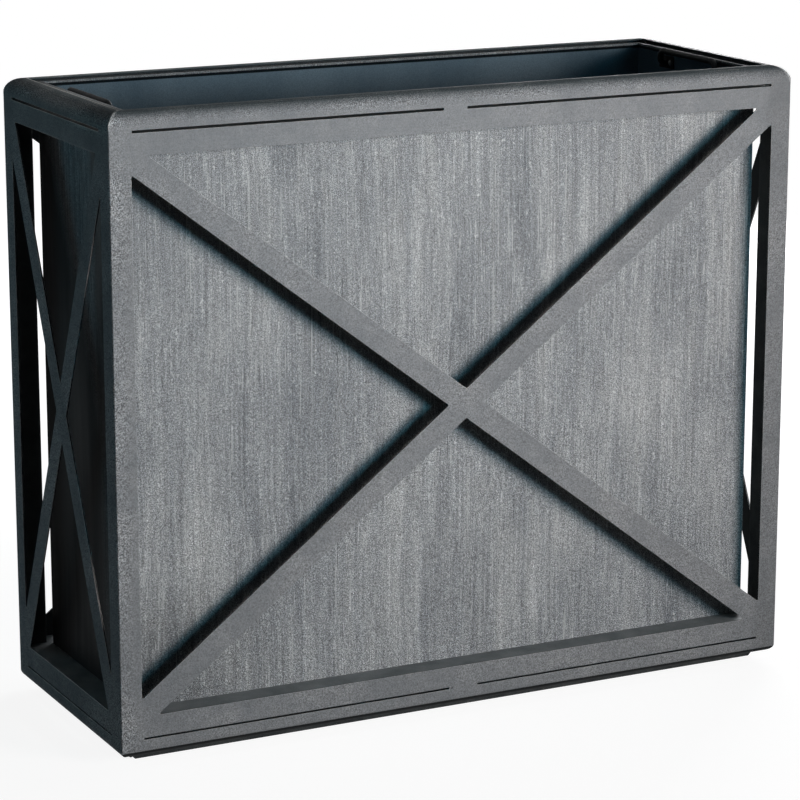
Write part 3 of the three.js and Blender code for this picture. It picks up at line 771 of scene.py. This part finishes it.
FLOOR_SPAN = 40
FLOOR_GLOW_FADE = (0.55, 1.5)  # from the planter's middle, where the floor's white becomes full
FLOOR_GLOW_NEAR = 0.9
SENSOR = 36  # millimetres
LENS = 139.33  # millimetres
CAMERA_PLACE = (-1.7129, -3.3907, 1.2817)
CAMERA_DOWN = 13.66  # degrees
CAMERA_RIGHT = 26.76  # degrees


def pale_floor():
    """A plain floor that shows white to the camera and keeps the planter's soft shadow."""
    bpy.ops.mesh.primitive_plane_add(size=FLOOR_SPAN)
    floor = bpy.context.object
    floor.name = "floor"
    paint = Finish("floor_paper")
    paint.shader.inputs["Base Color"].default_value = FLOOR_GREY
    paint.shader.inputs["Roughness"].default_value = 0.9
    paint.shader.inputs["Specular IOR Level"].default_value = 0.0
    away = paint.node("ShaderNodeVectorMath", {0: paint.place}, operation="LENGTH").outputs["Value"]
    level = paint.between(away, *FLOOR_GLOW_FADE, FLOOR_GLOW_NEAR, 1.0)
    glow = paint.node("ShaderNodeEmission", {"Color": WHITE, "Strength": level}).outputs[0]
    lit = paint.node("ShaderNodeAddShader", {0: paint.shader.outputs[0], 1: glow}).outputs[0]
    choice = {0: paint.found_white(), 1: paint.shader.outputs[0], 2: lit}
    both = paint.node("ShaderNodeMixShader", choice).outputs[0]
    paint.links.new(both, paint.nodes["Material Output"].inputs["Surface"])
    floor.data.materials.append(paint.material)


def surroundings(fill):
    """White where it is seen, and a low cool fill on the planter."""
    world = bpy.data.worlds.new("surroundings")
    bpy.context.scene.world = world
    world.use_nodes = True
    sky = Tree(world.node_tree)
    sky.nodes.clear()
    colour = sky.blend(sky.found_white(), (*fill, 1), WHITE)
    light = sky.node("ShaderNodeBackground", {"Color": colour}).outputs[0]
    sky.node("ShaderNodeOutputWorld", {"Surface": light})


def softbox(name, side, rise, far, aim, size, power, colour, spread):
    """A soft lamp seen from the aim point: degrees round from the front to the right, and degrees up."""
    lamp = bpy.data.lights.new(name, "AREA")
    lamp.shape = "RECTANGLE"
    lamp.size, lamp.size_y = size
    lamp.energy = power
    lamp.color = colour
    lamp.spread = math.radians(spread)
    light = bpy.data.objects.new(name, lamp)
    bpy.context.scene.collection.objects.link(light)
    side, rise, aim = math.radians(side), math.radians(rise), Vector(aim)
    towards = Vector((math.sin(side) * math.cos(rise), -math.cos(side) * math.cos(rise), math.sin(rise)))
    light.location = aim + far * towards
    light.rotation_euler = (-towards).to_track_quat("-Z", "Y").to_euler()


def camera():
    """From the front left and a little above, as the planter was photographed."""
    lens = bpy.data.cameras.new("camera")
    lens.sensor_width = SENSOR
    lens.lens = LENS
    eye = bpy.data.objects.new("camera", lens)
    bpy.context.scene.collection.objects.link(eye)
    eye.location = CAMERA_PLACE
    eye.rotation_euler = (math.radians(90 - CAMERA_DOWN), 0, math.radians(-CAMERA_RIGHT))
    bpy.context.scene.camera = eye


pale_floor()
surroundings(fill=(0.004, 0.006, 0.007))
high_front = (-0.25, -0.17, 0.9)
softbox(
    "key_softbox", side=37, rise=1, far=3.3, aim=high_front,
    size=(1.2, 1.1), power=14.1, colour=(1.0, 0.9, 0.855), spread=60,
)
softbox(
    "cool_softbox", side=18, rise=4, far=3.3, aim=high_front,
    size=(0.7, 0.6), power=2.1, colour=(0.2, 0.75, 1.0), spread=60,
)
softbox(
    "left_softbox", side=-151, rise=1.5, far=3.3, aim=(-0.45, 0, 0.42),
    size=(0.7, 0.8), power=1.2, colour=(0.1, 0.72, 1.0), spread=80,
)
softbox(
    "back_softbox", side=135, rise=8, far=3.2, aim=(0, 0.17, 0.4),
    size=(1.6, 1.0), power=110, colour=(0.97, 0.98, 1.0), spread=180,
)
# A narrow beam straight down, so that the inside shows from above
softbox(
    "inside_softbox", side=0, rise=90, far=2.0, aim=(0, 0, 0.6),
    size=(0.7, 0.06), power=0.9, colour=(1.0, 0.98, 0.95), spread=9,
)
camera()

bpy.context.scene.view_settings.view_transform = "Standard"
